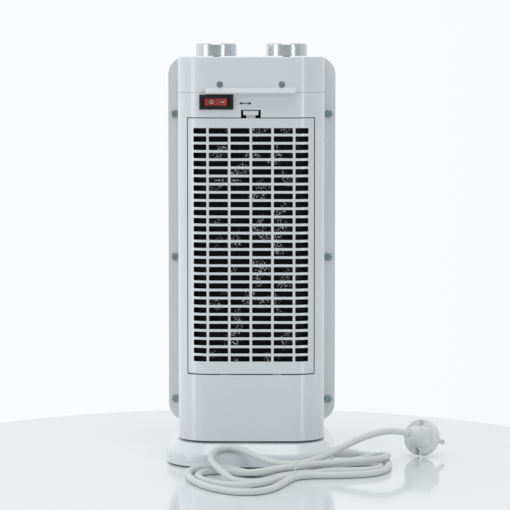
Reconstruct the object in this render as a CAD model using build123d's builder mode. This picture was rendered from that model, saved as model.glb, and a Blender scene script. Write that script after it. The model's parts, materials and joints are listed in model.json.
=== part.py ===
"""Tower fan heater on an oscillating base, with its supply cord tied in a hank.

+X is to the right and +Z is up as one looks at the back of the heater, whose back faces -Y and whose
warm-air outlet faces +Y. The origin is where the swivel axis meets the surface that the base stands on.
"""
from build123d import *
from math import cos, pi, radians, sin, tan
import os

os.makedirs("parts", exist_ok=True)

# ---------------------------------------------------------------- driving dimensions, mm
wall = 2.5                    # moulded shells
gap = 0.3                     # between pieces that move past each other
seam = 0.2                    # between fixed shells

base_half_x = 78.0
base_half_y = 78.0
base_corner_r = 42.0
base_lift = 1.5               # rubber feet hold the base this far off the floor
rim_top_z = 12.0
plateau_z = 21.3
well_r = 47.0                 # round opening in the base's top, over the swivel works

case_half_x = 67.5            # rear casing and top cap share this plan
case_rear_y = -62.0
case_corner_r = 30.0
case_bottom_z = 23.2
cap_seam_z = 342.5
case_top_z = 375.0

front_half_x = 78.0           # front half of the housing
front_bottom_z = 33.0
front_corner_r = 17.0
front_split_y = 34.0          # front casing ends and the front bezel begins
front_face_y = 52.0

door_half_x = 57.6
door_bottom_z = 85.0
door_top_z = 319.1
door_gap = 0.8
door_pivot_r = 1.2
slot_pitch = 7.45
slot_height = 5.2
slot_rows = 29
first_slot_top_z = 310.3
mesh_inset = 4.6              # filter mesh behind the door's outer face

knob_x = 32.4
knob_y = -22.0
knob_r = 18.75
knob_bottom_z = 375.6
knob_top_z = 387.3

rocker_x = -31.4
rocker_z = 333.9

fan_y = -18.0
fan_r = 22.0
fan_bottom_z = 106.0
fan_top_z = 294.0

swing_deg = 35.0              # the housing oscillates this far each way
crank_y = 26.0                # crank axis ahead of the swivel axis
crank_r = crank_y * sin(radians(swing_deg))

cord_d = 6.2
relief_z = 8.0
relief_y = -30.0
relief_length = 20.0
relief_droop_deg = 5.0

plug_centre = (160.0, -5.0, 18.0)
plug_turn_deg = 33.0          # cord side of the plug turns this far from -Y towards -X
plug_tilt_deg = 16.0          # and rises this far
plug_r = 17.0
plug_thickness = 10.0


def plan_face(z, half_x, rear_y, corner_r, front_y):
    """Plan of the rear half of the housing: a rectangle with its two rear corners rounded."""
    with BuildSketch(Plane.XY.offset(z)) as plan:
        with Locations((0, (rear_y + front_y) / 2)):
            Rectangle(2 * half_x, front_y - rear_y)
        fillet(plan.vertices().group_by(Axis.Y)[0], corner_r)
    return plan.sketch


def base_face(z, inset):
    """Plan of the base, drawn in from its outer edge by inset."""
    with BuildSketch(Plane.XY.offset(z)) as plan:
        RectangleRounded(2 * (base_half_x - inset), 2 * (base_half_y - inset), base_corner_r - inset)
    return plan.sketch


def front_face(y, inset, bottom_z=front_bottom_z, top_z=case_top_z):
    """Elevation of the front half of the housing on the plane at y, facing +Y."""
    height = top_z - bottom_z - 2 * inset
    middle = (0, y, (top_z + bottom_z) / 2)
    with BuildSketch(Plane(middle, x_dir=(-1, 0, 0), z_dir=(0, 1, 0))) as elevation:
        RectangleRounded(2 * (front_half_x - inset), height, front_corner_r - inset)
    return elevation.sketch


def block(x0, x1, y0, y1, z0, z1, mode=Mode.ADD):
    """A box between two corners, added to or cut from the part being built."""
    with Locations(((x0 + x1) / 2, (y0 + y1) / 2, (z0 + z1) / 2)):
        Box(x1 - x0, y1 - y0, z1 - z0, mode=mode)


def post(x, y, z0, z1, radius, mode=Mode.ADD):
    """An upright cylinder from z0 to z1."""
    with Locations((x, y, (z0 + z1) / 2)):
        Cylinder(radius, z1 - z0, mode=mode)


def rod_y(x, z, y0, y1, radius, mode=Mode.ADD):
    """A cylinder along Y from y0 to y1."""
    with Locations(Location((x, (y0 + y1) / 2, z), (90, 0, 0))):
        Cylinder(radius, y1 - y0, mode=mode)


# ================================================================ base
screw_xy = [(x, y) for x in (-58, 58) for y in (-18, 18)]
foot_xy = [(x, y) for x in (-52, 52) for y in (-50, 50)]
plate_top_z = 3.0
plunger_xy = (-24.0, -56.0)

with BuildPart() as base_cover:
    extrude(base_face(base_lift, 0), amount=rim_top_z - base_lift)
    extrude(base_face(rim_top_z, 0), amount=plateau_z - rim_top_z, taper=45)
    fillet(base_cover.edges().group_by(Axis.Z)[-1], 2.0)
    fillet(base_cover.edges().filter_by(lambda edge: abs(edge.center().Z - rim_top_z) < 0.01), 6.0)
    extrude(base_face(base_lift - 1, 2.2), amount=rim_top_z - base_lift + 0.5, mode=Mode.SUBTRACT)
    extrude(base_face(rim_top_z - 0.5, 2.2), amount=plateau_z - rim_top_z - 1.7, taper=45, mode=Mode.SUBTRACT)
    post(0, 0, 10, 30, well_r, mode=Mode.SUBTRACT)
    for x, y in screw_xy:
        post(x, y, plate_top_z + 0.2, plateau_z - 2.0, 3.5)
        post(x, y, plate_top_z, plateau_z - 3.5, 1.6, mode=Mode.SUBTRACT)
    with Locations(Location((base_half_x - 1, relief_y, relief_z), (0, 90, 0))):
        Cylinder(3.6, 6, mode=Mode.SUBTRACT)
base_cover.part.label = "base_cover"
export_step(base_cover.part, "parts/base_cover.step")

with BuildPart() as base_plate:
    extrude(base_face(base_lift, 2.5), amount=plate_top_z - base_lift)
    post(0, 0, plate_top_z, 11, 11.0)
    post(0, 0, 0, 12, 7.05, mode=Mode.SUBTRACT)
    for x, y in foot_xy:
        post(x, y, 0, 4, 2.6, mode=Mode.SUBTRACT)
    for x, y in screw_xy:
        post(x, y, 0, 4, 1.7, mode=Mode.SUBTRACT)
    post(*plunger_xy, 0, 4, 3.3, mode=Mode.SUBTRACT)
base_plate.part.label = "base_plate"
export_step(base_plate.part, "parts/base_plate.step")

with BuildPart() as rubber_feet:
    for x, y in foot_xy:
        post(x, y, 0, base_lift, 8.0)
        post(x, y, base_lift, plate_top_z, 2.5)
rubber_feet.part.label = "rubber_feet"
export_step(rubber_feet.part, "parts/rubber_feet.step")

with BuildPart() as base_screws:
    for x, y in screw_xy:
        post(x, y, 0.6, base_lift, 3.0)
        post(x, y, base_lift, 15, 1.5)
base_screws.part.label = "base_screws"
export_step(base_screws.part, "parts/base_screws.step")

with BuildPart() as swivel_ring:
    post(0, 0, plateau_z, case_bottom_z - gap, 54.0)
    post(0, 0, plateau_z, case_bottom_z - gap, 49.0, mode=Mode.SUBTRACT)
swivel_ring.part.label = "swivel_ring"
export_step(swivel_ring.part, "parts/swivel_ring.step")

link_top_z = 7.8
with BuildPart() as drive_link:
    block(-7, 7, 11.5, 46, plate_top_z, link_top_z)
    slot_centre_y = crank_y + 1
    with BuildSketch(Plane.XY.offset(plate_top_z)):
        with Locations((0, slot_centre_y)):
            SlotOverall(34, 5.0, rotation=90)
    extrude(amount=link_top_z - plate_top_z, mode=Mode.SUBTRACT)
drive_link.part.label = "drive_link"
export_step(drive_link.part, "parts/drive_link.step")

with BuildPart() as tip_switch:
    block(plunger_xy[0] - 7, plunger_xy[0] + 7, plunger_xy[1] - 5, plunger_xy[1] + 5, 9.6, 17)
    block(plunger_xy[0] - 10, plunger_xy[0] - 7, plunger_xy[1] - 4, plunger_xy[1] + 4, plate_top_z, 15)
tip_switch.part.label = "tip_switch"
export_step(tip_switch.part, "parts/tip_switch.step")

with BuildPart() as tilt_plunger:
    post(*plunger_xy, 0, 9, 3.0)
    post(*plunger_xy, 8.2, 9, 4.5)
    fillet(tilt_plunger.edges().group_by(Axis.Z)[0], 1.0)
tilt_plunger.part.label = "tilt_plunger"
export_step(tilt_plunger.part, "parts/tilt_plunger.step")

with BuildPart() as cord_clamp:
    block(60, 68, relief_y - 9, relief_y + 9, plate_top_z, relief_z + 4)
    with Locations(Location((64, relief_y, relief_z - 2), (0, 90, 0))):
        Cylinder(cord_d / 2 + 0.1, 10, mode=Mode.SUBTRACT)
    block(60, 68, relief_y - 3.2, relief_y + 3.2, plate_top_z, relief_z - 2, mode=Mode.SUBTRACT)
cord_clamp.part.label = "cord_clamp"
export_step(cord_clamp.part, "parts/cord_clamp.step")

# ================================================================ supply cord
droop = radians(relief_droop_deg)
relief_dir = (cos(droop), 0, -sin(droop))
relief_root = (base_half_x + 0.5, relief_y, relief_z)
relief_tip = tuple(relief_root[i] + relief_length * relief_dir[i] for i in range(3))

with BuildPart() as strain_relief:
    with BuildSketch(Plane(relief_root, z_dir=relief_dir)):
        Circle(5.0)
    with BuildSketch(Plane(relief_tip, z_dir=relief_dir)):
        Circle(cord_d / 2 + 0.6)
    loft()
    with Locations(Location((base_half_x - 1.0, relief_y, relief_z), (0, 90, 0))):
        Cylinder(3.5, 3.4)
    block(base_half_x - 4.1, base_half_x - 2.5, relief_y - 4.8, relief_y + 4.8,
          relief_z - 4.5, relief_z + 3.2)
strain_relief.part.label = "strain_relief"
export_step(strain_relief.part, "parts/strain_relief.step")


def cord_radii(points):
    """Largest arc that each corner's two runs allow: 0.45 of the shorter, over tan of half the turn."""
    runs = [Vector(b) - Vector(a) for a, b in zip(points, points[1:])]
    radii = []
    for before, after in zip(runs, runs[1:]):
        turn = radians(before.get_angle(after))
        radii.append(0.45 * min(before.length, after.length) / tan(turn / 2))
    return radii


def cord_path(name, points):
    """Centre line of a round cord: straight runs joined by tangent arcs."""
    radii = cord_radii(points)
    with BuildLine() as path:
        FilletPolyline(*points, radius=radii)
    print(name, "radii", [round(r, 1) for r in radii], "length", round(path.wire().length, 1))
    return path.wire()


def cord_section(points):
    """The cord's round section at the first of the points, square to the first run."""
    start = Vector(points[0])
    with BuildSketch(Plane(start, z_dir=Vector(points[1]) - start)) as section:
        Circle(cord_d / 2)
    return section.sketch


def print_volume(name, part, path):
    """A cord's volume beside its section times its length."""
    swept = pi * cord_d**2 / 4 * path.length
    print(name, "volume", round(part.volume, 1), "section x length", round(swept, 1))


lead_route = [relief_tip, (109, -30, 5.4), (117, -31.8, 4.4)]
lead_path = cord_path("cord_lead", lead_route)
with BuildPart() as cord_lead:
    sweep(cord_section(lead_route), path=lead_path)
cord_lead.part.label = "cord_lead"
export_step(cord_lead.part, "parts/cord_lead.step")
print_volume("cord_lead", cord_lead.part, lead_path)

plug_turn = radians(plug_turn_deg)
plug_tilt = radians(plug_tilt_deg)
plug_out = Vector(-sin(plug_turn) * cos(plug_tilt), -cos(plug_turn) * cos(plug_tilt), sin(plug_tilt))
hub_end = 28.0                # from the middle of the plug's round body to the cord end of its hub
hub_mouth = Vector(plug_centre) + plug_out * hub_end

tail_route = [(50, -107, 10.5), (63, -97, 13.5), (76, -83, 17), (89, -70, 21.8), (103, -59, 26.5),
              (118, -50, 29.6), (133, -41, 30.3), tuple(hub_mouth)]
tail_path = cord_path("cord_tail", tail_route)
with BuildPart() as cord_tail:
    sweep(cord_section(tail_route), path=tail_path)
cord_tail.part.label = "cord_tail"
export_step(cord_tail.part, "parts/cord_tail.step")
print_volume("cord_tail", cord_tail.part, tail_path)


def hull_face(circles):
    """Outline drawn tight round some circles on the floor, each given as (x, y, radius)."""
    with BuildSketch() as outline:
        for x, y, radius in circles:
            with Locations((x, y)):
                Circle(radius)
        make_hull()
    return outline.sketch


tie_x = 40.0
tie_y = -124.0
with BuildPart() as cord_hank:
    left_ends = [(24, -122, 9), (25, -178, 8), (4, -209, 9), (-14, -208, 9), (-50, -150, 11), (-50, -100, 11)]
    extrude(hull_face(left_ends + [(-30, -92, 8)]), amount=13)
    extrude(hull_face([(-34, -88, 7), (-16, -90, 7)]), amount=22)
    right_ends = [(56, -118, 14), (96, -122, 9), (120, -108, 9), (123, -46, 9), (113, -38, 7)]
    extrude(hull_face(right_ends), amount=14)
    block(20, 60, tie_y - 14, tie_y + 14, 1.0, 12.0)
cord_hank.part.label = "cord_hank"
export_step(cord_hank.part, "parts/cord_hank.step")

with BuildPart() as cord_tie:
    block(tie_x - 1.6, tie_x + 1.6, tie_y - 15.6, tie_y + 15.6, 0, 13.6)
    block(tie_x - 2, tie_x + 2, tie_y - 14.8, tie_y + 14.8, 0.8, 12.8, mode=Mode.SUBTRACT)
cord_tie.part.label = "cord_tie"
export_step(cord_tie.part, "parts/cord_tie.step")

plug_across = Vector(0, 0, 1).cross(plug_out).normalized()
plug_frame = Plane(plug_centre, x_dir=plug_across, z_dir=plug_out)
plug_back = plug_frame.offset(plug_thickness / 2)
with BuildPart() as plug_body:
    with BuildSketch(plug_frame.offset(-plug_thickness / 2)):
        Circle(plug_r)
        with Locations((0, plug_r), (0, -plug_r)):
            Rectangle(5, 13, mode=Mode.SUBTRACT)
    extrude(amount=plug_thickness)
    fillet(plug_body.edges().filter_by(GeomType.CIRCLE).group_by(SortBy.LENGTH)[-1], 2.0)
    with BuildSketch(plug_back):
        RectangleRounded(24, 20, 4)
    with BuildSketch(plug_back.offset(7)):
        RectangleRounded(17, 17, 7)
    loft()
    with BuildSketch(plug_back.offset(6.5)):
        Circle(8.5)
    with BuildSketch(plug_frame.offset(hub_end)):
        Circle(5.0)
    loft()
plug_body.part.label = "plug_body"
export_step(plug_body.part, "parts/plug_body.step")

pin_r = 2.4
pin_length = 19.0
with BuildPart() as plug_pins:
    with BuildSketch(plug_frame.offset(-plug_thickness / 2)):
        with Locations((-9.5, 0), (9.5, 0)):
            Circle(pin_r)
    extrude(amount=-pin_length)
    chamfer(plug_pins.faces().sort_by(Axis.Y)[-2:].edges(), 0.8)
plug_pins.part.label = "plug_pins"
export_step(plug_pins.part, "parts/plug_pins.step")

with BuildPart() as earth_clips:
    clip_r = plug_r - 6.1
    with BuildSketch(plug_frame.offset(-plug_thickness / 2)):
        with Locations((0, clip_r), (0, -clip_r)):
            Rectangle(4, 0.8)
    extrude(amount=plug_thickness - 3)
earth_clips.part.label = "earth_clips"
export_step(earth_clips.part, "parts/earth_clips.step")

# ================================================================ housing shells
shaft_r = 2.5
motor_bore_r = shaft_r + 0.06
stud_r = 7.0
floor_z0 = case_bottom_z
floor_z1 = 26.2
inner_half_x = case_half_x - wall
inner_rear_y = case_rear_y + wall
inner_corner_r = case_corner_r - wall
cap_screw_xz = [(-28.2, 349.8), (28.2, 349.8)]
side_screw_xz = [(x, z) for x in (-71.8, 71.8) for z in (54, 188, 322)]
lug_x = 24.0

with BuildPart() as rear_casing:
    outer_plan = plan_face(case_bottom_z, case_half_x, case_rear_y, case_corner_r, 0)
    extrude(outer_plan, amount=cap_seam_z - seam - case_bottom_z)
    inner_plan = plan_face(case_bottom_z - 1, inner_half_x, inner_rear_y, inner_corner_r, 5)
    extrude(inner_plan, amount=cap_seam_z, mode=Mode.SUBTRACT)
    # tongues that the top cap is screwed to
    for x, z in cap_screw_xz:
        block(x - 5, x + 5, inner_rear_y + gap, inner_rear_y + 3.3, cap_seam_z - 1.9, z + 6)
        block(x - 5, x + 5, inner_rear_y - 0.5, inner_rear_y + 0.5, cap_seam_z - 1.9, cap_seam_z - seam)
        rod_y(x, z, case_rear_y, inner_rear_y + 5, 1.6, mode=Mode.SUBTRACT)
    opening_x = door_half_x + door_gap
    block(-opening_x, opening_x, case_rear_y - 5, -40, door_bottom_z - door_gap, door_top_z + door_gap,
          mode=Mode.SUBTRACT)
    block(-9, 9, case_rear_y - 5, inner_rear_y + 1, door_top_z, 326.8, mode=Mode.SUBTRACT)
    block(rocker_x - 14.2, rocker_x + 14.2, case_rear_y - 5, inner_rear_y + 1, rocker_z - 5.8, rocker_z + 5.8,
          mode=Mode.SUBTRACT)
rear_casing.part.label = "rear_casing"
export_step(rear_casing.part, "parts/rear_casing.step")

plinth_front_y = 50.0
plinth_corner_r = 24.0


def plinth_face(z, inset, front_y):
    """Plan of the foot of the front half, which reaches down to the base in front of the swivel axis."""
    rear_half = plan_face(z, case_half_x - inset, inset - front_y, plinth_corner_r - inset, -seam)
    return mirror(rear_half, about=Plane.XZ)


with BuildPart() as front_casing:
    extrude(front_face(seam, 0), amount=front_split_y - seam)
    extrude(plinth_face(case_bottom_z, 0, plinth_front_y), amount=front_bottom_z - seam - case_bottom_z)
    extrude(plinth_face(front_bottom_z - 1, 0, front_split_y), amount=10)
    extrude(front_face(3.2, wall), amount=front_split_y, mode=Mode.SUBTRACT)
    block(-inner_half_x, inner_half_x, 0, front_split_y + 1, case_bottom_z - 1, case_top_z - wall,
          mode=Mode.SUBTRACT)
    extrude(plinth_face(case_bottom_z - 1, wall, plinth_front_y), amount=front_bottom_z - case_bottom_z - 1.5,
            mode=Mode.SUBTRACT)
    for x, z in side_screw_xz:
        rod_y(x, z, 0, 4, 1.6, mode=Mode.SUBTRACT)
front_casing.part.label = "front_casing"
export_step(front_casing.part, "parts/front_casing.step")

outlet_half_x = 52.0
outlet_bottom_z = 62.0
outlet_top_z = 340.0
outlet_corner_r = 12.0


def outlet_face(y, inset):
    """The warm-air outlet's rounded opening on the plane at y, facing +Y."""
    height = outlet_top_z - outlet_bottom_z - 2 * inset
    middle = (0, y, (outlet_top_z + outlet_bottom_z) / 2)
    with BuildSketch(Plane(middle, x_dir=(-1, 0, 0), z_dir=(0, 1, 0))) as elevation:
        RectangleRounded(2 * (outlet_half_x - inset), height, outlet_corner_r - inset)
    return elevation.sketch


with BuildPart() as front_bezel:
    bezel_y = front_split_y + seam
    extrude(front_face(bezel_y, 0), amount=front_face_y - bezel_y)
    fillet(front_bezel.faces().sort_by(Axis.Y)[-1].edges(), 9.0)
    extrude(front_face(bezel_y - 1, wall), amount=front_face_y - wall - bezel_y + 1 - 6, mode=Mode.SUBTRACT)
    extrude(front_face(bezel_y - 1, wall + 8), amount=front_face_y - wall - bezel_y + 1, mode=Mode.SUBTRACT)
    for x, z in side_screw_xz:
        rod_y(x, z, bezel_y, front_face_y - 8, 4.0)
        rod_y(x, z, bezel_y - 1, front_face_y - 10, 1.6, mode=Mode.SUBTRACT)
    extrude(outlet_face(bezel_y, 0), amount=40, mode=Mode.SUBTRACT)
front_bezel.part.label = "front_bezel"
export_step(front_bezel.part, "parts/front_bezel.step")

slat_pitch = 8.0
with BuildPart() as outlet_grille:
    grille_back_y = front_face_y - 11
    grille_depth = 9.5
    extrude(outlet_face(grille_back_y, 0.3), amount=grille_depth)
    extrude(outlet_face(grille_back_y, 3.0), amount=grille_depth, mode=Mode.SUBTRACT)
    slat_count = int((outlet_top_z - outlet_bottom_z) / slat_pitch) - 1
    slat_middle = (0, grille_back_y + grille_depth / 2 - 0.5, (outlet_top_z + outlet_bottom_z) / 2)
    with Locations(slat_middle):
        Box(3.0, grille_depth - 3, outlet_top_z - outlet_bottom_z - 4)
        for row in range(slat_count):
            with Locations(Location((0, 0, (row - (slat_count - 1) / 2) * slat_pitch), (-20, 0, 0))):
                Box(2 * outlet_half_x - 4, 7.5, 1.6)
outlet_grille.part.label = "outlet_grille"
export_step(outlet_grille.part, "parts/outlet_grille.step")

lip_half_x = 41.0
with BuildPart() as top_cap:
    cap_plan = plan_face(cap_seam_z, case_half_x, case_rear_y, case_corner_r, 0)
    extrude(cap_plan, amount=case_top_z - cap_seam_z)
    fillet(top_cap.faces().sort_by(Axis.Z)[-1].edges().sort_by(Axis.Y)[:-1], 1.2)
    # finger grip along the back, thinning towards its edge
    with BuildSketch(Plane.YZ.offset(-lip_half_x)):
        with BuildLine():
            Polyline((case_rear_y + 1, 341.6), (case_rear_y - 7, 341.6), (case_rear_y - 7, 343.2),
                     (case_rear_y - 0.5, 346.6), (case_rear_y + 1, 347.2), close=True)
        make_face()
    extrude(amount=2 * lip_half_x)
    chamfer(top_cap.edges().filter_by(Axis.Z).group_by(Axis.Y)[0], 3.0)
    cap_inner = plan_face(cap_seam_z - 5, inner_half_x, inner_rear_y, inner_corner_r, 5)
    extrude(cap_inner, amount=case_top_z - wall - cap_seam_z + 5, mode=Mode.SUBTRACT)
    block(-lip_half_x - 1, lip_half_x + 1, case_rear_y - 0.3, inner_rear_y + 1, cap_seam_z - 2, cap_seam_z,
          mode=Mode.SUBTRACT)
    for x, z in cap_screw_xz:
        rod_y(x, z, case_rear_y - 1, inner_rear_y + 1, 1.6, mode=Mode.SUBTRACT)
        rod_y(x, z, case_rear_y - 1, case_rear_y + 1.3, 3.0, mode=Mode.SUBTRACT)
    for x in (-knob_x, knob_x):
        post(x, knob_y, case_top_z - 5, case_top_z + 1, 4.0, mode=Mode.SUBTRACT)
top_cap.part.label = "top_cap"
export_step(top_cap.part, "parts/top_cap.step")

with BuildPart() as floor_pan:
    pan_plan = plan_face(floor_z0, inner_half_x - seam, inner_rear_y + seam, inner_corner_r - seam, 3)
    extrude(pan_plan, amount=floor_z1 - floor_z0)
    block(-42, 42, 2, plinth_front_y - wall - seam, floor_z0, floor_z1)
    post(0, 0, floor_z0 - 1, floor_z1 + 1, stud_r + 0.1, mode=Mode.SUBTRACT)
    post(0, crank_y, floor_z0 - 1, floor_z1 + 1, 4.0, mode=Mode.SUBTRACT)
floor_pan.part.label = "floor_pan"
export_step(floor_pan.part, "parts/floor_pan.step")


def cross_screw(x, z, head_y, head_r, head_height, length, mode=Mode.ADD):
    """A pan-head screw that faces -Y, its cross recess cut in the head."""
    rod_y(x, z, head_y, head_y + head_height, head_r)
    rod_y(x, z, head_y + head_height, head_y + head_height + length, 1.5)
    arm = head_r * 1.15
    block(x - arm / 2, x + arm / 2, head_y, head_y + 1.0, z - 0.5, z + 0.5, mode=Mode.SUBTRACT)
    block(x - 0.5, x + 0.5, head_y, head_y + 1.0, z - arm / 2, z + arm / 2, mode=Mode.SUBTRACT)


with BuildPart() as casing_screws:
    for x, z in side_screw_xz:
        cross_screw(x, z, seam - 2.2, 3.75, 2.2, 30)
    rims = casing_screws.edges().filter_by(GeomType.CIRCLE).filter_by(lambda e: abs(e.radius - 3.75) < 0.01)
    fillet(rims.group_by(Axis.Y)[0], 1.2)
casing_screws.part.label = "casing_screws"
export_step(casing_screws.part, "parts/casing_screws.step")

with BuildPart() as cap_screws:
    for x, z in cap_screw_xz:
        cross_screw(x, z, case_rear_y - 0.3, 2.75, 1.5, 7)
    cap_rims = cap_screws.edges().filter_by(GeomType.CIRCLE).filter_by(lambda e: abs(e.radius - 2.75) < 0.01)
    fillet(cap_rims.group_by(Axis.Y)[0], 0.6)
cap_screws.part.label = "cap_screws"
export_step(cap_screws.part, "parts/cap_screws.step")

washer_top_z = base_lift - seam
with BuildPart() as pivot_stud:
    post(0, 0, floor_z1, floor_z1 + 2, 14)
    post(0, 0, washer_top_z, floor_z1 + 1, stud_r)
    post(0, 0, 0, floor_z1 + 5, 3.5, mode=Mode.SUBTRACT)
pivot_stud.part.label = "pivot_stud"
export_step(pivot_stud.part, "parts/pivot_stud.step")

with BuildPart() as pivot_washer:
    post(0, 0, 0.4, washer_top_z, 10)
    post(0, 0, 0, washer_top_z + 1, 3.5, mode=Mode.SUBTRACT)
pivot_washer.part.label = "pivot_washer"
export_step(pivot_washer.part, "parts/pivot_washer.step")

# ================================================================ fan, heater and swing drive
with BuildPart() as air_duct:
    duct_z0 = fan_bottom_z - 8
    duct_z1 = fan_top_z + 6
    for z in (duct_z0, duct_z1 - 2):
        block(-46, 46, -50, 20, z, z + 2)
        post(0, fan_y, z - 1, z + 3, 7, mode=Mode.SUBTRACT)
    with BuildSketch(Plane.XY.offset(duct_z0)):
        with BuildLine():
            scroll = CenterArc((0, fan_y), fan_r + 5, 95, 115)
            offset(scroll, 1.0)
        make_face()
    extrude(amount=duct_z1 - duct_z0)
    block(24, 26, fan_y + 12, 20, duct_z0, duct_z1)
    block(24, 32, fan_y + 10, fan_y + 12, duct_z0, duct_z1)
air_duct.part.label = "air_duct"
export_step(air_duct.part, "parts/air_duct.step")

blade_count = 24
with BuildPart() as fan_wheel:
    for z in (fan_bottom_z, (fan_bottom_z + fan_top_z) / 2 - 1, fan_top_z - 2):
        post(0, fan_y, z, z + 2, fan_r)
    with BuildSketch(Plane((0, fan_y, fan_bottom_z))):
        with PolarLocations(fan_r - 3.2, blade_count):
            Rectangle(5.6, 0.8, rotation=35)
    extrude(amount=fan_top_z - fan_bottom_z)
    post(0, fan_y, fan_bottom_z - 22, fan_top_z + 11, shaft_r)
fan_wheel.part.label = "fan_wheel"
export_step(fan_wheel.part, "parts/fan_wheel.step")

with BuildPart() as top_bearing:
    post(0, fan_y, duct_z1, duct_z1 + 6, 9)
    post(0, fan_y, duct_z1 - 1, duct_z1 + 7, motor_bore_r, mode=Mode.SUBTRACT)
top_bearing.part.label = "top_bearing"
export_step(top_bearing.part, "parts/top_bearing.step")

motor_z0 = 66.0
motor_z1 = 94.0
with BuildPart() as fan_motor:
    block(-27, 27, fan_y - 22, fan_y + 22, motor_z0 + 4, motor_z1 - 6)
    fillet(fan_motor.edges().filter_by(Axis.Z), 5)
    post(0, fan_y, motor_z0, motor_z1, 14)
    post(0, fan_y, motor_z0 + 12, motor_z1 + 1, motor_bore_r, mode=Mode.SUBTRACT)
fan_motor.part.label = "fan_motor"
export_step(fan_motor.part, "parts/fan_motor.step")

with BuildPart() as motor_bracket:
    block(-32, 32, fan_y - 20, fan_y + 20, motor_z0 - 2, motor_z0)
    for x in (-31, 31):
        block(x - 1, x + 1, fan_y - 20, fan_y + 20, floor_z1, motor_z0)
motor_bracket.part.label = "motor_bracket"
export_step(motor_bracket.part, "parts/motor_bracket.step")

ptc_y0 = 22.0
ptc_y1 = 38.0
with BuildPart() as ptc_frame:
    block(-31, 31, ptc_y0, ptc_y1, 84, 316)
    # partition that keeps the warm air from coming back round the heater
    block(-inner_half_x + 1, inner_half_x - 1, ptc_y0, ptc_y0 + 2, 45, 370)
    block(-22, 22, ptc_y0 - 1, ptc_y1 + 1, 93, 307, mode=Mode.SUBTRACT)
ptc_frame.part.label = "ptc_frame"
export_step(ptc_frame.part, "parts/ptc_frame.step")

with BuildPart() as ptc_fins:
    for x in (-11, 0, 11):
        block(x - 2, x + 2, ptc_y0 + 2, ptc_y1 - 2, 94, 306)
    with Locations((0, (ptc_y0 + ptc_y1) / 2, 200)):
        for row in range(36):
            with Locations((0, 0, (row - 17.5) * 5.8)):
                Box(43, ptc_y1 - ptc_y0 - 6, 0.8)
ptc_fins.part.label = "ptc_fins"
export_step(ptc_fins.part, "parts/ptc_fins.step")

with BuildPart() as thermal_cutout:
    rod_y(26.5, 311, ptc_y0 - 6, ptc_y0, 4.2)
    block(22, 31, ptc_y0 - 8, ptc_y0 - 6, 308, 314)
thermal_cutout.part.label = "thermal_cutout"
export_step(thermal_cutout.part, "parts/thermal_cutout.step")

with BuildPart() as swing_motor:
    block(-18, 18, 15.5, front_split_y - seam, floor_z1, floor_z1 + 15)
    fillet(swing_motor.edges().filter_by(Axis.Z), 3)
    post(0, crank_y, floor_z1 - 1, floor_z1 + 12, motor_bore_r, mode=Mode.SUBTRACT)
swing_motor.part.label = "swing_motor"
export_step(swing_motor.part, "parts/swing_motor.step")

crank_z0 = 12.0
with BuildPart() as swing_crank:
    post(0, crank_y, crank_z0, floor_z1 + 10, shaft_r)
    post(0, crank_y, crank_z0, crank_z0 + 6, 5)
    block(-3, 3, crank_y, crank_y + crank_r, crank_z0, crank_z0 + 3)
    post(0, crank_y + crank_r, crank_z0, crank_z0 + 3, 3)
    post(0, crank_y + crank_r, link_top_z + 0.8, crank_z0, 2.0)
swing_crank.part.label = "swing_crank"
export_step(swing_crank.part, "parts/swing_crank.step")

# ================================================================ controls
knob_shaft_r = 3.0


def switch_body(x, half_size, depth):
    """A rotary control's case under the top cap, with a bore for its shaft."""
    block(x - half_size, x + half_size, knob_y - half_size, knob_y + half_size, 369 - depth, 369)
    post(x, knob_y, 369, case_top_z - wall, 5)
    post(x, knob_y, 369 - depth + 6, case_top_z, knob_shaft_r + 0.06, mode=Mode.SUBTRACT)


with BuildPart() as mode_switch:
    switch_body(-knob_x, 14, 22)
mode_switch.part.label = "mode_switch"
export_step(mode_switch.part, "parts/mode_switch.step")

with BuildPart() as thermostat:
    switch_body(knob_x, 16, 26)
thermostat.part.label = "thermostat"
export_step(thermostat.part, "parts/thermostat.step")


def knob_solid(x):
    """A round knob, hollow below, with a bored hub and a pointer groove in its top."""
    with BuildPart() as knob:
        post(x, knob_y, knob_bottom_z, knob_top_z, knob_r)
        fillet(knob.edges().group_by(Axis.Z)[-1], 1.8)
        post(x, knob_y, knob_bottom_z - 1, knob_top_z - 3, knob_r - 2, mode=Mode.SUBTRACT)
        post(x, knob_y, knob_bottom_z, knob_top_z - 2, 5.5)
        post(x, knob_y, knob_bottom_z - 1, knob_top_z - 2.5, knob_shaft_r + 0.02, mode=Mode.SUBTRACT)
        block(x - 0.6, x + 0.6, knob_y + 7, knob_y + knob_r - 2.5, knob_top_z - 0.5, knob_top_z + 1,
              mode=Mode.SUBTRACT)
    return knob.part


def shaft_solid(x):
    """A rotary control's shaft, from inside its case up into its knob."""
    with BuildPart() as shaft:
        post(x, knob_y, 356, knob_top_z - 2.6, knob_shaft_r)
    return shaft.part


with BuildPart() as mode_knob:
    add(knob_solid(-knob_x))
mode_knob.part.label = "mode_knob"
export_step(mode_knob.part, "parts/mode_knob.step")

with BuildPart() as mode_shaft:
    add(shaft_solid(-knob_x))
mode_shaft.part.label = "mode_shaft"
export_step(mode_shaft.part, "parts/mode_shaft.step")

with BuildPart() as thermostat_knob:
    add(knob_solid(knob_x))
thermostat_knob.part.label = "thermostat_knob"
export_step(thermostat_knob.part, "parts/thermostat_knob.step")

with BuildPart() as thermostat_shaft:
    add(shaft_solid(knob_x))
thermostat_shaft.part.label = "thermostat_shaft"
export_step(thermostat_shaft.part, "parts/thermostat_shaft.step")

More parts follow.
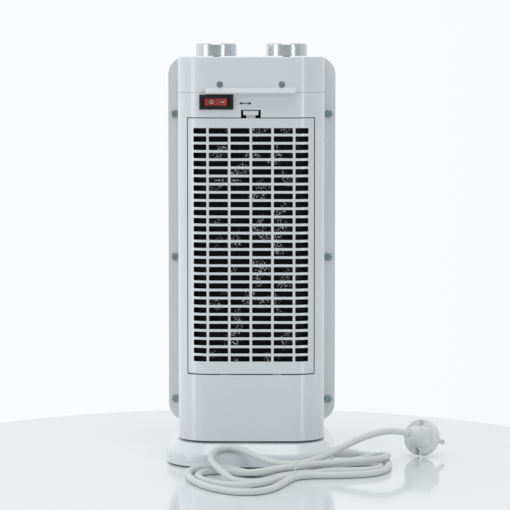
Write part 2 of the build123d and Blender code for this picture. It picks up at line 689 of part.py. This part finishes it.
rocker_pivot_y = case_rear_y + 2.4
rocker_r = 11.4
rocker_half_height = 3.3
with BuildPart() as rocker_bezel:
    block(rocker_x - 15.5, rocker_x + 15.5, case_rear_y - 1.6, case_rear_y, rocker_z - 6.85, rocker_z + 6.85)
    chamfer(rocker_bezel.faces().sort_by(Axis.Y)[0].edges(), 0.6)
    block(rocker_x - 14, rocker_x + 14, case_rear_y, case_rear_y + 20, rocker_z - 5.6, rocker_z + 5.6)
    block(rocker_x - rocker_r - 0.3, rocker_x + rocker_r + 0.3, case_rear_y - 2, case_rear_y + 15,
          rocker_z - rocker_half_height - 0.3, rocker_z + rocker_half_height + 0.3, mode=Mode.SUBTRACT)
rocker_bezel.part.label = "rocker_bezel"
export_step(rocker_bezel.part, "parts/rocker_bezel.step")

rocker_tilt_deg = -11.0       # at rest the rocker's left side, off, is pressed in
with BuildPart() as rocker:
    rocker_plane = Plane((rocker_x, rocker_pivot_y, rocker_z - rocker_half_height),
                         x_dir=Vector(1, 0, 0).rotate(Axis.Z, rocker_tilt_deg), z_dir=(0, 0, 1))
    with BuildSketch(rocker_plane):
        Circle(rocker_r)
        with BuildLine():
            Polyline((0, -3.4), (20, -7.6), (20, -20), (-20, -20), (-20, -7.6), close=True)
        make_face(mode=Mode.SUBTRACT)
        with Locations((0, 20 + 4)):
            Rectangle(40, 40, mode=Mode.SUBTRACT)
    extrude(amount=2 * rocker_half_height)
rocker.part.label = "rocker"
export_step(rocker.part, "parts/rocker.step")

# ================================================================ filter door


def door_band(z, outer_inset, thickness):
    """A strip of the casing's plan, set in from its outer face, as a closed outline."""
    with BuildPart() as band:
        outer = plan_face(z, case_half_x - outer_inset, case_rear_y + outer_inset,
                          case_corner_r - outer_inset, 0)
        extrude(outer, amount=1)
        deeper = outer_inset + thickness
        inner = plan_face(z - 1, case_half_x - deeper, case_rear_y + deeper, case_corner_r - deeper, 1)
        extrude(inner, amount=3, mode=Mode.SUBTRACT)
    return band.faces().sort_by(Axis.Z)[0]


slot_columns = [(9.85, 17.5), (29.55, 17.5), (46.45, 11.9)]
slot_middle_z = first_slot_top_z - slot_height / 2 - (slot_rows - 1) / 2 * slot_pitch
with BuildPart() as filter_door:
    extrude(door_band(door_bottom_z, 0, wall), amount=door_top_z - door_bottom_z, dir=(0, 0, 1))
    block(-door_half_x, door_half_x, case_rear_y - 1, -40, door_bottom_z, door_top_z, mode=Mode.INTERSECT)
    with BuildSketch(Plane((0, case_rear_y - 2, slot_middle_z), x_dir=(1, 0, 0), z_dir=(0, -1, 0))):
        for x, width in slot_columns:
            for side in (-1, 1):
                with Locations((side * x, 0)):
                    with GridLocations(1, slot_pitch, 1, slot_rows):
                        RectangleRounded(width, slot_height, 0.7)
    extrude(amount=-20, mode=Mode.SUBTRACT)
    # the rounded bottom edge that the door tilts about
    bottom_edge = filter_door.edges().filter_by(Axis.X).group_by(Axis.Y)[0].sort_by(Axis.Z)[0]
    fillet(bottom_edge, door_pivot_r)
    for side in (-1, 1):
        block(side * lug_x - 4, side * lug_x + 4, inner_rear_y - 0.2, inner_rear_y + 2.1, door_bottom_z,
              door_bottom_z + 4)
        block(side * lug_x - 4, side * lug_x + 4, inner_rear_y + 0.6, inner_rear_y + 2.1, door_bottom_z - 4.5,
              door_bottom_z + 4)
    for side in (-1, 1):
        block(side * 5.5 - 1, side * 5.5 + 1, inner_rear_y - 0.2, inner_rear_y + 1.8,
              door_top_z - 8, door_top_z)
filter_door.part.label = "filter_door"
export_step(filter_door.part, "parts/filter_door.step")

with BuildPart() as filter_mesh:
    extrude(door_band(door_bottom_z + 6, mesh_inset, 1.0), amount=door_top_z - door_bottom_z - 15,
            dir=(0, 0, 1))
    block(-54, 54, case_rear_y, -40, door_bottom_z, door_top_z, mode=Mode.INTERSECT)
filter_mesh.part.label = "filter_mesh"
export_step(filter_mesh.part, "parts/filter_mesh.step")

with BuildPart() as door_latch:
    block(-6.85, 6.85, case_rear_y - 0.8, inner_rear_y + 1.4, 322.0, 326.0)
    chamfer(door_latch.edges().filter_by(Axis.X).group_by(Axis.Y)[0], 0.6)
    block(-4.2, 4.2, inner_rear_y + 0.2, inner_rear_y + 1.4, door_top_z - 9, 322)
door_latch.part.label = "door_latch"
export_step(door_latch.part, "parts/door_latch.step")
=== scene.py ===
"""Looks of the fan convector heater: materials, free cord, filter cloth and small marks on the CAD frame."""
import json
from math import atan2, cos, pi, radians, sin

import bmesh
import bpy
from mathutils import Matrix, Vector


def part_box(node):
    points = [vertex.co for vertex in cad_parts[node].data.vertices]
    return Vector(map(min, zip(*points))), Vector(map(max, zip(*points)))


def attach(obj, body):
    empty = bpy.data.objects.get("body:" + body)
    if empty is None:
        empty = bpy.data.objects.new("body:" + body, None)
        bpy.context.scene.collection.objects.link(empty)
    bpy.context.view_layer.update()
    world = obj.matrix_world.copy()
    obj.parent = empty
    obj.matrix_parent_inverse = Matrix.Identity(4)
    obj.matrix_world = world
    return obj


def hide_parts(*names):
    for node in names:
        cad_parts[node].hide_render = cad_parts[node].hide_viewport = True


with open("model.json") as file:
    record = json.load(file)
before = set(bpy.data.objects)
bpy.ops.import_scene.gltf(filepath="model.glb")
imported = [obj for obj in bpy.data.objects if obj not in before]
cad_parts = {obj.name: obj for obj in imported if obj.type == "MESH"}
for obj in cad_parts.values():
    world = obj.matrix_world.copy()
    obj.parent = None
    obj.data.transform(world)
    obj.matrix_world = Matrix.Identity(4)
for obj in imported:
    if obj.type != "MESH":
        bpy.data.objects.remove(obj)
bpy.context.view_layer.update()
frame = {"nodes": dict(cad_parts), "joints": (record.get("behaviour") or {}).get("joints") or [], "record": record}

MM = 0.001
nodes = frame["nodes"]

# ---------------------------------------------------------------- camera
camera_data = bpy.data.cameras.new("camera")
camera_data.lens = 173.7
camera_data.sensor_width = 36.0
camera = bpy.data.objects.new("camera", camera_data)
bpy.context.scene.collection.objects.link(camera)
camera.location = (0.032, -2.300, 0.375)
camera_aim = Vector((0.003, 0.0, 0.1896))
camera.rotation_euler = (camera_aim - camera.location).to_track_quat("-Z", "Y").to_euler()
bpy.context.scene.camera = camera


# ---------------------------------------------------------------- materials
def new_material(name):
    """An empty node material: (material, nodes, links, principled shader, object coordinates)."""
    material = bpy.data.materials.new(name)
    material.use_nodes = True
    tree = material.node_tree
    shader = tree.nodes["Principled BSDF"]
    coordinates = tree.nodes.new("ShaderNodeTexCoord")
    return material, tree.nodes, tree.links, shader, coordinates.outputs["Object"]


def noise(tree_nodes, links, vector, scale, detail=3.0, stretch=(1, 1, 1)):
    """A noise texture's value, stretched along the axes."""
    mapping = tree_nodes.new("ShaderNodeMapping")
    mapping.inputs["Scale"].default_value = stretch
    texture = tree_nodes.new("ShaderNodeTexNoise")
    texture.inputs["Scale"].default_value = scale
    texture.inputs["Detail"].default_value = detail
    links.new(vector, mapping.inputs["Vector"])
    links.new(mapping.outputs["Vector"], texture.inputs["Vector"])
    return texture.outputs["Fac"]


def map_range(tree_nodes, links, value, low, high, from_low=0.3, from_high=0.7):
    """value, stretched from one range to another."""
    node = tree_nodes.new("ShaderNodeMapRange")
    node.inputs["From Min"].default_value = from_low
    node.inputs["From Max"].default_value = from_high
    node.inputs["To Min"].default_value = low
    node.inputs["To Max"].default_value = high
    links.new(value, node.inputs["Value"])
    return node.outputs["Result"]


def mix_colours(tree_nodes, links, factor, first, second):
    """A colour between two, by factor."""
    node = tree_nodes.new("ShaderNodeMix")
    node.data_type = "RGBA"
    node.inputs["A"].default_value = (*first, 1)
    node.inputs["B"].default_value = (*second, 1)
    links.new(factor, node.inputs["Factor"])
    return node.outputs["Result"]


def bump(tree_nodes, links, shader, height, strength, distance):
    """Fine relief from a height value."""
    node = tree_nodes.new("ShaderNodeBump")
    node.inputs["Strength"].default_value = strength
    node.inputs["Distance"].default_value = distance
    links.new(height, node.inputs["Height"])
    links.new(node.outputs["Normal"], shader.inputs["Normal"])


def product(tree_nodes, links, first, second):
    """Two values multiplied."""
    node = tree_nodes.new("ShaderNodeMath")
    node.operation = "MULTIPLY"
    links.new(first, node.inputs[0])
    links.new(second, node.inputs[1])
    return node.outputs[0]


def plastic(name, colour, roughness, grain=900.0, relief=0.05, tint=0.008, coat=0.0):
    """Moulded plastic: faint colour flow, slightly uneven gloss and a fine grain."""
    material, tree_nodes, links, shader, place = new_material(name)
    flow = noise(tree_nodes, links, place, 18.0, 4.0, (1, 1, 0.35))
    darker = tuple(c * (1 - 2 * tint) for c in colour)
    links.new(mix_colours(tree_nodes, links, flow, darker, colour), shader.inputs["Base Color"])
    smear = noise(tree_nodes, links, place, 60.0, 5.0)
    gloss = map_range(tree_nodes, links, smear, roughness * 0.96, roughness * 1.04)
    links.new(gloss, shader.inputs["Roughness"])
    bump(tree_nodes, links, shader, noise(tree_nodes, links, place, grain, 2.0), relief, 0.00005)
    shader.inputs["IOR"].default_value = 1.5
    shader.inputs["Coat Weight"].default_value = coat
    shader.inputs["Coat Roughness"].default_value = 0.08
    return material


def metal(name, colour, roughness, stretch=(1, 1, 1), relief=0.08, grain=700.0):
    """Metal with drawn or turned streaks along one axis."""
    material, tree_nodes, links, shader, place = new_material(name)
    streaks = noise(tree_nodes, links, place, grain, 3.0, stretch)
    darker = tuple(c * 0.9 for c in colour)
    links.new(mix_colours(tree_nodes, links, streaks, darker, colour), shader.inputs["Base Color"])
    gloss = map_range(tree_nodes, links, streaks, roughness * 0.8, roughness * 1.25)
    links.new(gloss, shader.inputs["Roughness"])
    bump(tree_nodes, links, shader, streaks, relief, 0.0001)
    shader.inputs["Metallic"].default_value = 1.0
    return material


def translucent_red():
    """The rocker's red lens: light enters it a little way."""
    material = plastic("rocker_red", (0.36, 0.016, 0.008), 0.10, relief=0.02, tint=0.10, coat=1.0)
    shader = material.node_tree.nodes["Principled BSDF"]
    shader.inputs["Subsurface Weight"].default_value = 0.25
    shader.inputs["Subsurface Radius"].default_value = (0.004, 0.0008, 0.0005)
    shader.inputs["Subsurface Scale"].default_value = 0.5
    return material


CLOTH_BLACK = (0.004, 0.0045, 0.006)
GLINT_WHITE = (0.97, 0.98, 1.0)
GLINT_ENDS = (0.026, 0.044)    # metres from the middle: full painted glints up to the first, none past the second


def glinted_mesh():
    """Black filter cloth, with painted glints: pale highlight specks in patches over its middle columns."""
    material, tree_nodes, links, shader, place = new_material("mesh_black")
    specks = map_range(tree_nodes, links, noise(tree_nodes, links, place, 600.0, 2.0), 0, 1, 0.55, 0.59)
    patches = map_range(tree_nodes, links, noise(tree_nodes, links, place, 55.0, 1.0), 0, 1, 0.54, 0.60)
    axes = tree_nodes.new("ShaderNodeSeparateXYZ")
    links.new(place, axes.inputs["Vector"])
    sideways = tree_nodes.new("ShaderNodeMath")
    sideways.operation = "ABSOLUTE"
    links.new(axes.outputs["X"], sideways.inputs[0])
    middle = map_range(tree_nodes, links, sideways.outputs[0], 1, 0, *GLINT_ENDS)
    # painted glints: pale highlight specks where the speck and patch noises meet, fading out past the middle
    # columns
    painted_glints = product(tree_nodes, links, product(tree_nodes, links, specks, patches), middle)
    links.new(mix_colours(tree_nodes, links, painted_glints, CLOTH_BLACK, GLINT_WHITE), shader.inputs["Base Color"])
    gloss = map_range(tree_nodes, links, specks, 0.55, 0.75, 0.0, 1.0)
    links.new(gloss, shader.inputs["Roughness"])
    shader.inputs["Specular IOR Level"].default_value = 0.2
    return material


def clear_tie():
    """The twist tie's milky clear plastic over its wire."""
    material = plastic("tie_clear", (0.84, 0.87, 0.88), 0.10, relief=0.03, coat=0.4)
    shader = material.node_tree.nodes["Principled BSDF"]
    shader.inputs["Transmission Weight"].default_value = 0.35
    return material


materials = {
    "casing_white": plastic("casing_white", (0.74, 0.78, 0.80), 0.26, relief=0.03, coat=0.4),
    "base_white": plastic("base_white", (0.78, 0.81, 0.83), 0.24, relief=0.04, coat=0.25),
    "grille_grey": plastic("grille_grey", (0.24, 0.25, 0.27), 0.45, relief=0.10),
    "switch_black": plastic("switch_black", (0.010, 0.010, 0.012), 0.22, relief=0.05),
    "rocker_red": translucent_red(),
    "knob_silver": metal("knob_silver", (0.74, 0.78, 0.81), 0.25, (1, 1, 0.05), relief=0.01),
    "screw_zinc": metal("screw_zinc", (0.36, 0.45, 0.48), 0.30, relief=0.02),
    "mesh_black": glinted_mesh(),
    "cord_pvc": plastic("cord_pvc", (0.72, 0.74, 0.74), 0.36, grain=1400.0, relief=0.06, tint=0.03),
    "plug_white": plastic("plug_white", (0.76, 0.78, 0.78), 0.38, grain=1100.0, relief=0.08),
    "pin_nickel": metal("pin_nickel", (0.72, 0.70, 0.66), 0.20, (1, 1, 0.1)),
    "foot_rubber": plastic("foot_rubber", (0.045, 0.045, 0.047), 0.75, grain=500.0, relief=0.25),
    "acetal": plastic("acetal", (0.70, 0.68, 0.62), 0.40, relief=0.05),
    "duct_steel": metal("duct_steel", (0.50, 0.52, 0.54), 0.38, (1, 1, 0.08), relief=0.15, grain=260.0),
    "motor_steel": metal("motor_steel", (0.32, 0.32, 0.33), 0.42, (0.1, 0.1, 6.0), relief=0.25, grain=300.0),
    "fan_black": plastic("fan_black", (0.030, 0.031, 0.034), 0.38, relief=0.08),
    "ptc_frame_black": plastic("ptc_frame_black", (0.030, 0.028, 0.026), 0.55, relief=0.12),
    "fin_aluminium": metal("fin_aluminium", (0.78, 0.79, 0.80), 0.30, (0.1, 1, 1), relief=0.10),
    "tie_clear": clear_tie(),
}

for subpart in frame["record"]["subparts"]:
    mesh = nodes[subpart["node"]].data
    mesh.materials.clear()
    mesh.materials.append(materials[subpart["material_slot"]])


def add_piece(name, data, slot, body):
    """A new piece with its slot's material, riding on a body."""
    piece = bpy.data.objects.new(name, data)
    bpy.context.scene.collection.objects.link(piece)
    data.materials.append(materials[slot])
    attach(piece, body)
    return piece


def nurbs(name, points, diameter, cyclic=False):
    """A round curve on a smooth NURBS line with the given control points, in metres."""
    curve = bpy.data.curves.new(name, "CURVE")
    curve.dimensions = "3D"
    curve.resolution_u = 8
    curve.bevel_depth = diameter / 2
    curve.bevel_resolution = 5
    curve.use_fill_caps = not cyclic
    spline = curve.splines.new("NURBS")
    spline.points.add(len(points) - 1)
    for point, place in zip(spline.points, points):
        point.co = (*place, 1)
    spline.order_u = 3
    spline.use_cyclic_u = cyclic
    spline.use_endpoint_u = not cyclic
    return curve


# ---------------------------------------------------------------- supply cord
CORD_DIAMETER = 6.2 * MM

# millimetres, from the strain relief's tip through the tied hank to the plug
LEAD = [(98.42, -30, 6.26), (109, -30, 5.4), (117, -31.8, 4.4)]
FIRST_TURN = [(123, -37, 3.4), (126.5, -50, 3.1), (126, -74, 3.1), (123, -98, 3.1), (112, -117, 3.1),
              (95, -126, 3.1), (72, -129, 3.1), (52, -131, 3.3)]
FIRST_LOOP = [(40, -137, 3.1), (32, -160, 3.1), (24, -190, 3.1), (10, -214, 3.1), (-12, -215, 3.1),
              (-33, -194, 3.1), (-48, -164, 3.1), (-55, -134, 3.1), (-55, -104, 3.1), (-44, -85, 3.1),
              (-27, -84, 3.1), (-13, -103, 3.1), (2, -122, 3.1), (24, -122, 3.1)]
SECOND_TURN = [(40, -115.9, 3.1), (52, -103, 3.1), (66, -89, 3.1), (80, -74, 3.1), (95, -62, 3.1),
               (111, -61, 3.1), (119, -73, 3.1), (118, -89, 3.1), (109, -100, 3.1), (95, -104, 3.1),
               (78, -105, 3.1), (62, -113, 3.1), (50, -124, 3.1)]
SECOND_LOOP = [(40, -128.6, 3.1), (28, -144, 3.1), (14, -166, 3.1), (-4, -183, 3.1), (-23, -179, 3.1),
               (-38, -163, 3.1), (-46, -142, 3.1), (-46, -121, 3.1), (-35, -106, 3.1), (-19, -110, 3.1),
               (-4, -124, 4), (12, -130, 6.6), (27, -124, 8.8)]
THIRD_TURN = [(40, -119, 9.0), (52, -111, 9.4), (66, -103, 9.4), (84, -96, 9.4), (103, -86, 9.4),
              (119, -76, 9.4), (127, -60, 9.4), (123, -44, 8), (110, -38, 5), (98, -44, 3.1), (88, -57, 3.1),
              (76, -70, 3.5), (67, -80, 8.2), (61, -93, 9.6), (55, -105, 4.4), (49, -115, 3.1)]
THIRD_LOOP = [(40, -122.3, 3.1), (29, -133, 3.1), (19, -150, 3.1), (8, -164, 3.1), (-5, -168, 3.1),
              (-17, -158, 4.5), (-26, -138, 9.3), (-33, -113, 10.4), (-37, -91, 12.5), (-32, -77, 18),
              (-18, -75, 20), (-5, -83, 17.5), (9, -95, 13), (23, -106, 9.8), (37, -110, 9.6)]
TAIL = [(50, -107, 10.5), (63, -97, 13.5), (76, -83, 17), (89, -70, 21.8), (103, -59, 26.5), (118, -50, 29.6),
        (133, -41, 30.3), (145.34, -27.57, 25.72)]
ROUTE = LEAD + FIRST_TURN + FIRST_LOOP + SECOND_TURN + SECOND_LOOP + THIRD_TURN + THIRD_LOOP + TAIL

cord_points = [Vector(point) * MM for point in ROUTE]
cord = add_piece("supply_cord", nurbs("supply_cord", cord_points, CORD_DIAMETER), "cord_pvc", "base")
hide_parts("cord_lead", "cord_hank", "cord_tail")


def twist_tie():
    """A coated wire once round the hank, its two ends twisted together and pointing to the left."""
    low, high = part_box("cord_tie")
    middle = (low + high) / 2
    wire = 1.1 * MM
    half_y = (high.y - low.y) / 2 - wire / 2
    half_z = (high.z - low.z) / 2 - wire / 2
    knot_angle = radians(215)
    gap_angle = radians(8)
    ring = []
    for step in range(17):
        angle = knot_angle + gap_angle + step / 16 * (2 * pi - 2 * gap_angle)
        lean = 1.5 * MM * sin(angle)
        ring.append(Vector((middle.x + lean, middle.y + half_y * cos(angle), middle.z + half_z * sin(angle))))
    loop = add_piece("tie_loop", nurbs("tie_loop", ring, wire), "tie_clear", "base")
    knot = (ring[0] + ring[-1]) / 2
    twist_end = knot + Vector((-7 * MM, -1.2 * MM, 0.4 * MM))
    twists = 3
    twist_radius = 0.45 * MM
    ends = []
    for phase, name in ((0, "tie_end_near"), (pi, "tie_end_far")):
        strand = []
        for step in range(13):
            along = knot.lerp(twist_end, step / 12)
            angle = phase + step / 12 * twists * 2 * pi
            strand.append(along + Vector((0, cos(angle), sin(angle))) * twist_radius)
        ends.append(add_piece(name, nurbs(name, strand, 0.9 * MM), "tie_clear", "base"))
    return [loop, *ends]


tie_pieces = twist_tie()
for tie_piece in tie_pieces:
    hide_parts("cord_tie")


# ---------------------------------------------------------------- filter cloth
CASE_CORNER_R = 30 * MM
BEND_TURN = 0.60              # radians of the corner that the cloth follows at each end


def filter_grid(name, pitch, setback, weave):
    """A grid on the door's own plan curve, setback behind the cloth's front, as a mesh."""
    low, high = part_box("filter_mesh")
    case_low, case_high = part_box("rear_casing")
    flat_half = case_high.x - CASE_CORNER_R
    rear_y = low.y + setback
    bend_r = case_low.y + CASE_CORNER_R - rear_y
    half_run = flat_half + bend_r * BEND_TURN
    columns = int(2 * half_run / pitch)
    rows = int((high.z - low.z - 1 * MM) / pitch)
    sheet = bmesh.new()
    grid = []
    for row in range(rows + 1):
        z = low.z + 0.5 * MM + row * (high.z - low.z - 1 * MM) / rows
        line = []
        for column in range(columns + 1):
            run = -half_run + column * 2 * half_run / columns
            turn = max(abs(run) - flat_half, 0) / bend_r
            x = min(abs(run), flat_half) + bend_r * sin(turn)
            y = rear_y + bend_r * (1 - cos(turn)) + weave * (-1) ** (row + column)
            line.append(sheet.verts.new((x if run > 0 else -x, y, z)))
        grid.append(line)
    for row in range(rows):
        for column in range(columns):
            sheet.faces.new((grid[row][column], grid[row][column + 1],
                             grid[row + 1][column + 1], grid[row + 1][column]))
    mesh = bpy.data.meshes.new(name)
    sheet.to_mesh(mesh)
    sheet.free()
    return add_piece(name, mesh, "mesh_black", "door")


def filter_cloth():
    """Crossing threads in front of a closed black sheet, which hides what is behind it and stands in for the shade
    inside the casing: painted shade over the cloth's own black.
    """
    # painted shade: the cloth is black of its own, and this sheet is made closed so that the dark inside of the
    # casing shows as even black
    weave = filter_grid("filter_shade_sheet", 3 * MM, 0.7 * MM, 0.0)
    thickness = weave.modifiers.new("thickness", "SOLIDIFY")
    thickness.thickness = 0.25 * MM
    threads = filter_grid("filter_threads", 2.4 * MM, 0.35 * MM, 0.08 * MM)
    wires = threads.modifiers.new("wires", "WIREFRAME")
    wires.thickness = 0.4 * MM
    wires.use_even_offset = False
    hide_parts("filter_mesh")
    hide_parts("filter_mesh")


filter_cloth()


# ---------------------------------------------------------------- printed marks
INK = 0.15 * MM


def printed(name, outline, centre, slot, body, tilt=0.0):
    """A thin printed shape: an outline of (x, z) round centre, on an upright face turned about Z by tilt."""
    shape = bmesh.new()
    sides = []
    for depth in (-INK, 0.3 * INK):
        sides.append([shape.verts.new(centre + Vector((x * cos(tilt) - depth * sin(tilt),
                                                       x * sin(tilt) + depth * cos(tilt), z)))
                      for x, z in outline])
    shape.faces.new(sides[0])
    shape.faces.new(reversed(sides[1]))
    count = len(outline)
    for k in range(count):
        after = (k + 1) % count
        shape.faces.new((sides[0][k], sides[1][k], sides[1][after], sides[0][after]))
    bmesh.ops.recalc_face_normals(shape, faces=shape.faces)
    mesh = bpy.data.meshes.new(name)
    shape.to_mesh(mesh)
    shape.free()
    return add_piece(name, mesh, slot, body)


def printed_ring(name, centre, outer, line, slot, body, tilt):
    """A thin printed circle, drawn as short curved strips that meet."""
    strips = 4
    for strip in range(strips):
        angles = [2 * pi * (strip + step / 8) / strips for step in range(9)]
        outline = [(outer * cos(a), outer * sin(a)) for a in angles]
        outline += [((outer - line) * cos(a), (outer - line) * sin(a)) for a in reversed(angles)]
        printed(f"{name}_{strip}", outline, centre, slot, body, tilt)


def rocker_marks():
    """The off circle on the rocker's left face and the on bar on its right face."""
    pivot = next(Vector(joint["pos_m"]) for joint in frame["joints"] if joint["name"] == "rocker_rock")
    rest_tilt = radians(-11)
    face_slope = atan2(4.2, 20)
    ridge_out = 3.4 * MM
    ridge = pivot + Vector((ridge_out * sin(rest_tilt), -ridge_out * cos(rest_tilt), 0))
    left_tilt = rest_tilt + face_slope
    right_tilt = rest_tilt - face_slope
    left = ridge - Vector((cos(left_tilt), sin(left_tilt), 0)) * 3.6 * MM
    right = ridge + Vector((cos(right_tilt), sin(right_tilt), 0)) * 7.2 * MM
    printed_ring("off_circle", left, 1.7 * MM, 0.45 * MM, "casing_white", "rocker_button", left_tilt)
    half_x, half_z = 1.9 * MM, 0.25 * MM
    bar = [(-half_x, -half_z), (half_x, -half_z), (half_x, half_z), (-half_x, half_z)]
    printed("on_bar", bar, right, "casing_white", "rocker_button", right_tilt)


rocker_marks()


def swing_mark():
    """A plain two-headed arrow beside the rocker, for the swing."""
    case_low, case_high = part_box("rear_casing")
    bezel_low, bezel_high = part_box("rocker_bezel")
    centre = Vector((bezel_high.x + 11 * MM, case_low.y, (bezel_low.z + bezel_high.z) / 2 - 1.2 * MM))
    head = [(5.6, 0), (3.2, 1.5), (3.2, 0.35)]
    quarter = [(x * MM, z * MM) for x, z in head]
    outline = quarter + [(-x, z) for x, z in reversed(quarter)]
    outline += [(-x, -z) for x, z in quarter[1:]] + [(x, -z) for x, z in reversed(quarter[1:])]
    printed("swing_arrow", outline, centre, "switch_black", "housing")


swing_mark()


# ---------------------------------------------------------------- table, light and background
def stage_disc(name, radius, depth, edge_r, centre, colour, roughness):
    """A round table top with a softly rounded edge."""
    profile = [(0.0, 0.0), (radius - edge_r, 0.0)]
    for step in range(1, 7):
        angle = step / 6 * pi / 2
        profile.append((radius - edge_r + edge_r * sin(angle), -edge_r + edge_r * cos(angle)))
    profile.append((radius, -depth))
    steps = 160
    disc = bmesh.new()
    rings = []
    top = disc.verts.new((centre[0], centre[1], 0))
    for r, z in profile[1:]:
        rings.append([disc.verts.new((centre[0] + r * cos(2 * pi * k / steps),
                                      centre[1] + r * sin(2 * pi * k / steps), z)) for k in range(steps)])
    for k in range(steps):
        disc.faces.new((top, rings[0][k], rings[0][(k + 1) % steps]))
        for inner, outer in zip(rings, rings[1:]):
            disc.faces.new((inner[k], outer[k], outer[(k + 1) % steps], inner[(k + 1) % steps]))
    mesh = bpy.data.meshes.new(name)
    disc.to_mesh(mesh)
    disc.free()
    mesh.materials.append(plastic(name, colour, roughness, grain=60.0, relief=0.002, tint=0.003))
    piece = bpy.data.objects.new(name, mesh)
    bpy.context.scene.collection.objects.link(piece)
    return piece


stage_disc("table", radius=0.36, depth=0.02, edge_r=0.004, centre=(-0.01, -0.05),
           colour=(0.80, 0.83, 0.845), roughness=0.08)


def strip_light(name, azimuth, distance, width, height, energy, z=0.35):
    """A soft rectangular light that faces the heater, at an azimuth in degrees from -Y towards +X."""
    light = bpy.data.lights.new(name, "AREA")
    light.shape = "RECTANGLE"
    light.size = width
    light.size_y = height
    light.energy = energy
    lamp = bpy.data.objects.new(name, light)
    angle = radians(azimuth)
    lamp.location = (distance * sin(angle), -distance * cos(angle), z)
    aim = Vector((0, 0, 0.2)) - lamp.location
    lamp.rotation_euler = aim.to_track_quat("-Z", "Y").to_euler()
    bpy.context.scene.collection.objects.link(lamp)


strip_light("right_strip", azimuth=38, distance=2.2, width=0.22, height=2.2, energy=8)
strip_light("left_strip", azimuth=-62, distance=2.2, width=0.50, height=2.2, energy=9)
strip_light("overhead", azimuth=0, distance=0.7, width=1.2, height=0.8, energy=10, z=2.2)


def studio_world():
    """White behind the heater, falling to grey towards -Y and a little towards +X."""
    world = bpy.data.worlds.new("studio")
    world.use_nodes = True
    tree = world.node_tree
    background = tree.nodes["Background"]
    direction = tree.nodes.new("ShaderNodeTexCoord")
    split = tree.nodes.new("ShaderNodeSeparateXYZ")
    tree.links.new(direction.outputs["Generated"], split.inputs["Vector"])
    falls = []
    for axis, low, high, dim, bright in (("Y", -1.0, 0.45, 0.44, 0.98), ("X", -0.1, 1.0, 1.0, 0.72)):
        shade = tree.nodes.new("ShaderNodeMapRange")
        shade.interpolation_type = "SMOOTHSTEP"
        shade.inputs["From Min"].default_value = low
        shade.inputs["From Max"].default_value = high
        shade.inputs["To Min"].default_value = dim
        shade.inputs["To Max"].default_value = bright
        tree.links.new(split.outputs[axis], shade.inputs["Value"])
        falls.append(shade.outputs["Result"])
    tree.links.new(product(tree.nodes, tree.links, *falls), background.inputs["Strength"])
    background.inputs["Color"].default_value = (0.97, 0.985, 1.0, 1)
    bpy.context.scene.world = world


studio_world()
bpy.context.scene.view_settings.view_transform = "Standard"
